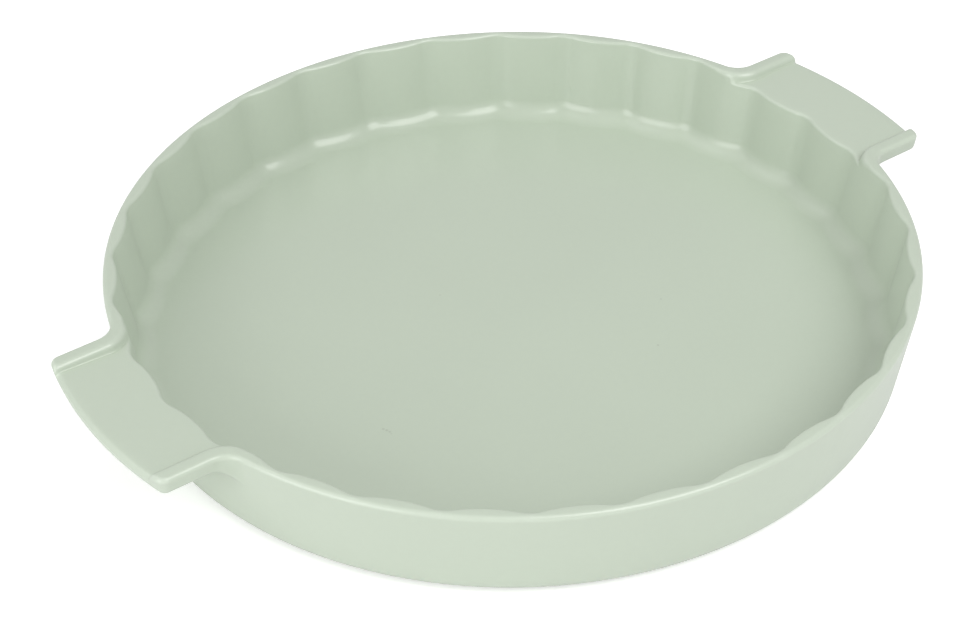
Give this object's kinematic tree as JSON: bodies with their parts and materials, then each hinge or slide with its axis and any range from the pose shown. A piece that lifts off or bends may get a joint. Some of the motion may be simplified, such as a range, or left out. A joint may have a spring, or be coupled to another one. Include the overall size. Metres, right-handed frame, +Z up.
{
  "type": "pie dish",
  "caption": "Round stoneware pie dish with a fluted inner wall, a flat floor, two lug handles with sunk panels and a bare foot ring.",
  "frame": {"origin": "on the table under the middle of the dish, which is the bottom centre of its box", "axes": "+X along the two handles, towards handle_right; +Z up through the open top"},
  "size_m": [0.3466, 0.2995, 0.04],
  "materials": {
    "sage_glaze": "satin",
    "bare_clay": "matt"
  },
  "bodies": {
    "root": {"dish_floor": "sage_glaze", "fluted_wall": "sage_glaze", "handle_left": "sage_glaze", "handle_right": "sage_glaze", "foot_ring": "bare_clay"}
  },
  "joints": []
}
